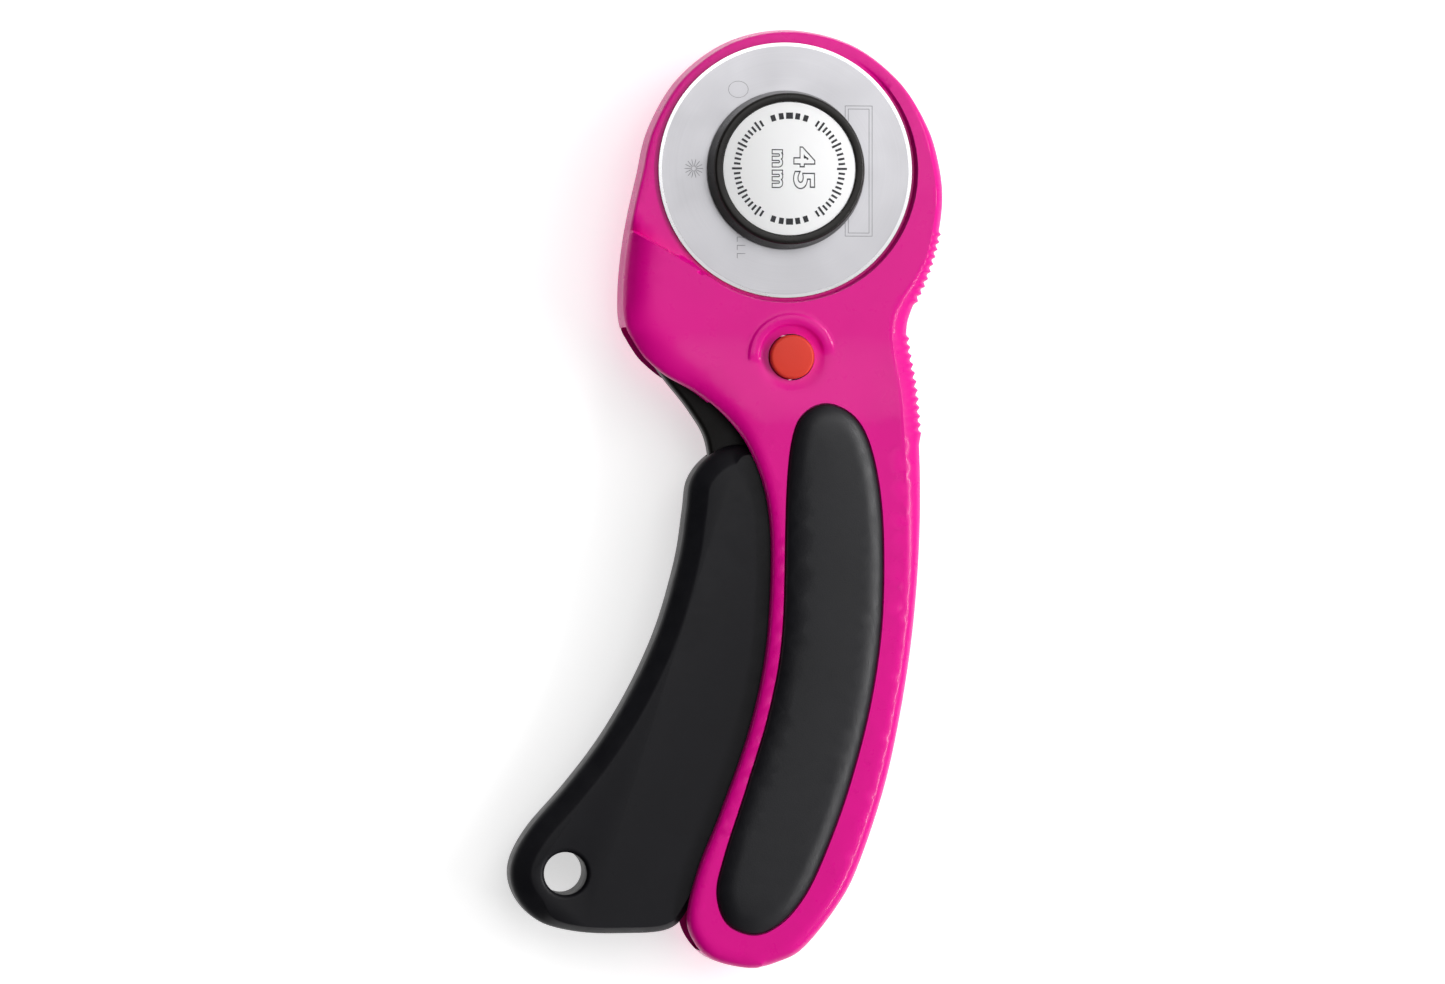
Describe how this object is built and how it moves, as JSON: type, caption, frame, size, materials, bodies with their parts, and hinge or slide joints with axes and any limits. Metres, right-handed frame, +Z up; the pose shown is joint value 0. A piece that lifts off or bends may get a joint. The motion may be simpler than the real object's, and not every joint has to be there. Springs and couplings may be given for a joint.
{
  "type": "rotary cutter",
  "caption": "Hand-held rotary cutter for fabric with a round blade on a squeeze lever, curved cushioned handle, push-through lock button and hang hole.",
  "frame": {"origin": "centre of the rear nut's flat outer face, on the blade axis, at table level; the cutter lies on its back", "axes": "+Z up along the blade axis, out of the blade's face; +Y from the handle towards the head; +X towards the ribbed spine side, away from the lever"},
  "size_m": [0.0768, 0.166, 0.0215],
  "materials": {
    "magenta": "satin moulded",
    "black_plastic": "fine matt texture",
    "black_rubber": "soft satin",
    "orange": "satin moulded",
    "steel": "satin ground",
    "label": "printed disc",
    "brass": "turned",
    "spring_steel": "drawn wire and strip",
    "nylon": "natural"
  },
  "bodies": {
    "handle": {"front_shell": "magenta", "rear_shell": "magenta", "front_grip_pad": "black_rubber", "rear_grip_pad": "black_rubber", "pivot_pin": "steel", "pivot_washer_front": "nylon", "pivot_washer_rear": "nylon", "return_spring": "spring_steel", "lock_clip": "spring_steel"},
    "lever": {"lever_arm": "black_plastic", "lever_grip": "black_plastic", "arm_sleeve": "steel", "bolt_stud": "steel", "blade_knob": "black_plastic", "knob_label": "label", "blade_bush": "nylon", "wave_washer": "spring_steel"},
    "blade": {"blade": "steel"},
    "nut": {"rear_nut": "black_plastic", "nut_insert": "brass"},
    "lock": {"lock_button": "orange"}
  },
  "joints": [
    {"name": "lever_squeeze", "type": "hinge", "parent": "handle", "child": "lever", "pos_m": [-0.0211, -0.0229, 0.01], "axis": [0, 0, 1], "range_deg": [0, 13], "stiffness_Nm_per_rad": 0.6, "springref_deg": -20.05, "deforming": ["return_spring"]},
    {"name": "blade_spin", "type": "hinge", "parent": "lever", "child": "blade", "pos_m": [0, 0, 0.01545], "axis": [0, 0, 1], "continuous": true},
    {"name": "nut_turn", "type": "hinge", "parent": "lever", "child": "nut", "pos_m": [0, 0, 0.002], "axis": [0, 0, 1], "continuous": true},
    {"name": "lock_slide", "type": "slide", "parent": "handle", "child": "lock", "axis": [0, 0, -1], "range_m": [0, 0.003]}
  ]
}
